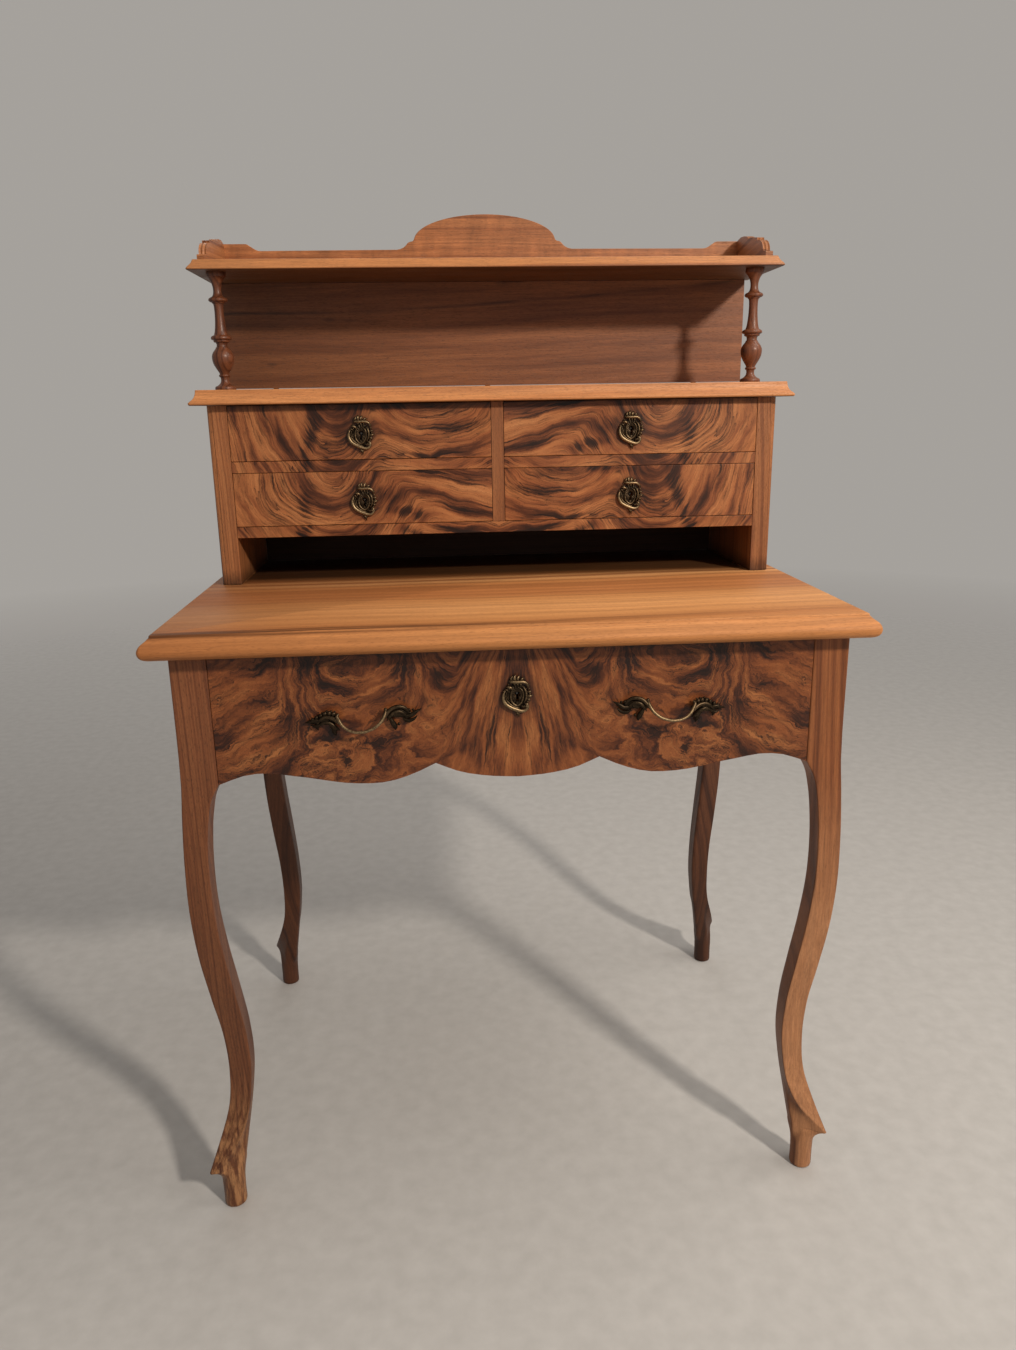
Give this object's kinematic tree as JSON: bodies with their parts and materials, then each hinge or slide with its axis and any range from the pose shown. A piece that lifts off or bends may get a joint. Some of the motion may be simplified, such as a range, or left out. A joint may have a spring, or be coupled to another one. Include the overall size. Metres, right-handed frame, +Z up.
{
  "type": "secretary desk",
  "caption": "Walnut writing desk on cabriole legs with a wide drawer, a small-drawer cabinet over an open pigeon hole, and a gallery shelf on turned columns.",
  "frame": {"origin": "on the floor, in the middle of the desk's plan (bounding box bottom centre)", "axes": "+Z up, -Y towards the sitter (front), +X to the sitter's right"},
  "size_m": [0.8124, 0.5702, 1.2595],
  "materials": {
    "walnut": "satin shellac on straight-grained walnut",
    "pale_walnut": "satin shellac on sun-bleached walnut",
    "burr_walnut": "polished figured walnut veneer",
    "dark_walnut": "satin shellac on dark walnut",
    "drawer_pine": "bare softwood",
    "brass": "antique patina",
    "lock_metal": "dull worn steel"
  },
  "bodies": {
    "desk": {"leg_front_left": "walnut", "leg_front_right": "walnut", "leg_rear_left": "walnut", "leg_rear_right": "walnut", "apron_left": "walnut", "apron_right": "walnut", "apron_back": "walnut", "top_front_rail": "drawer_pine", "drawer_runner_left": "drawer_pine", "drawer_runner_right": "drawer_pine", "table_top": "pale_walnut", "cabinet_side_left": "walnut", "cabinet_side_right": "walnut", "cabinet_back": "dark_walnut", "cabinet_floor_board": "burr_walnut", "middle_board_left": "burr_walnut", "middle_board_right": "burr_walnut", "centre_divider": "walnut", "cabinet_top": "pale_walnut", "etagere_back_board": "walnut", "spindle_left": "dark_walnut", "spindle_right": "dark_walnut", "top_shelf": "pale_walnut", "gallery_back": "walnut", "gallery_side_left": "walnut", "gallery_side_right": "walnut"},
    "main_drawer": {"main_drawer_front": "burr_walnut", "main_drawer_side_left": "drawer_pine", "main_drawer_side_right": "drawer_pine", "main_drawer_back": "drawer_pine", "main_drawer_bottom": "drawer_pine", "main_handle_left": "brass", "main_handle_right": "brass", "main_escutcheon": "brass", "main_lock": "lock_metal"},
    "main_bolt": {"main_bolt": "lock_metal"},
    "upper_left_drawer": {"upper_left_drawer_front": "burr_walnut", "upper_left_drawer_box": "drawer_pine", "upper_left_drawer_bottom": "drawer_pine", "upper_left_escutcheon": "brass", "upper_left_lock": "lock_metal"},
    "upper_left_bolt": {"upper_left_bolt": "lock_metal"},
    "upper_right_drawer": {"upper_right_drawer_front": "burr_walnut", "upper_right_drawer_box": "drawer_pine", "upper_right_drawer_bottom": "drawer_pine", "upper_right_escutcheon": "brass", "upper_right_lock": "lock_metal"},
    "upper_right_bolt": {"upper_right_bolt": "lock_metal"},
    "lower_left_drawer": {"lower_left_drawer_front": "burr_walnut", "lower_left_drawer_box": "drawer_pine", "lower_left_drawer_bottom": "drawer_pine", "lower_left_escutcheon": "brass", "lower_left_lock": "lock_metal"},
    "lower_left_bolt": {"lower_left_bolt": "lock_metal"},
    "lower_right_drawer": {"lower_right_drawer_front": "burr_walnut", "lower_right_drawer_box": "drawer_pine", "lower_right_drawer_bottom": "drawer_pine", "lower_right_escutcheon": "brass", "lower_right_lock": "lock_metal"},
    "lower_right_bolt": {"lower_right_bolt": "lock_metal"}
  },
  "joints": [
    {"name": "main_drawer_slide", "type": "slide", "parent": "desk", "child": "main_drawer", "axis": [0, -1, 0], "range_m": [0, 0.35]},
    {"name": "main_bolt_slide", "type": "slide", "parent": "main_drawer", "child": "main_bolt", "axis": [0, 0, 1], "range_m": [0, 0.007]},
    {"name": "upper_left_drawer_slide", "type": "slide", "parent": "desk", "child": "upper_left_drawer", "axis": [0, -1, 0], "range_m": [0, 0.16]},
    {"name": "upper_left_bolt_slide", "type": "slide", "parent": "upper_left_drawer", "child": "upper_left_bolt", "axis": [0, 0, 1], "range_m": [0, 0.007]},
    {"name": "upper_right_drawer_slide", "type": "slide", "parent": "desk", "child": "upper_right_drawer", "axis": [0, -1, 0], "range_m": [0, 0.16]},
    {"name": "upper_right_bolt_slide", "type": "slide", "parent": "upper_right_drawer", "child": "upper_right_bolt", "axis": [0, 0, 1], "range_m": [0, 0.007]},
    {"name": "lower_left_drawer_slide", "type": "slide", "parent": "desk", "child": "lower_left_drawer", "axis": [0, -1, 0], "range_m": [0, 0.16]},
    {"name": "lower_left_bolt_slide", "type": "slide", "parent": "lower_left_drawer", "child": "lower_left_bolt", "axis": [0, 0, 1], "range_m": [0, 0.007]},
    {"name": "lower_right_drawer_slide", "type": "slide", "parent": "desk", "child": "lower_right_drawer", "axis": [0, -1, 0], "range_m": [0, 0.16]},
    {"name": "lower_right_bolt_slide", "type": "slide", "parent": "lower_right_drawer", "child": "lower_right_bolt", "axis": [0, 0, 1], "range_m": [0, 0.007]}
  ]
}
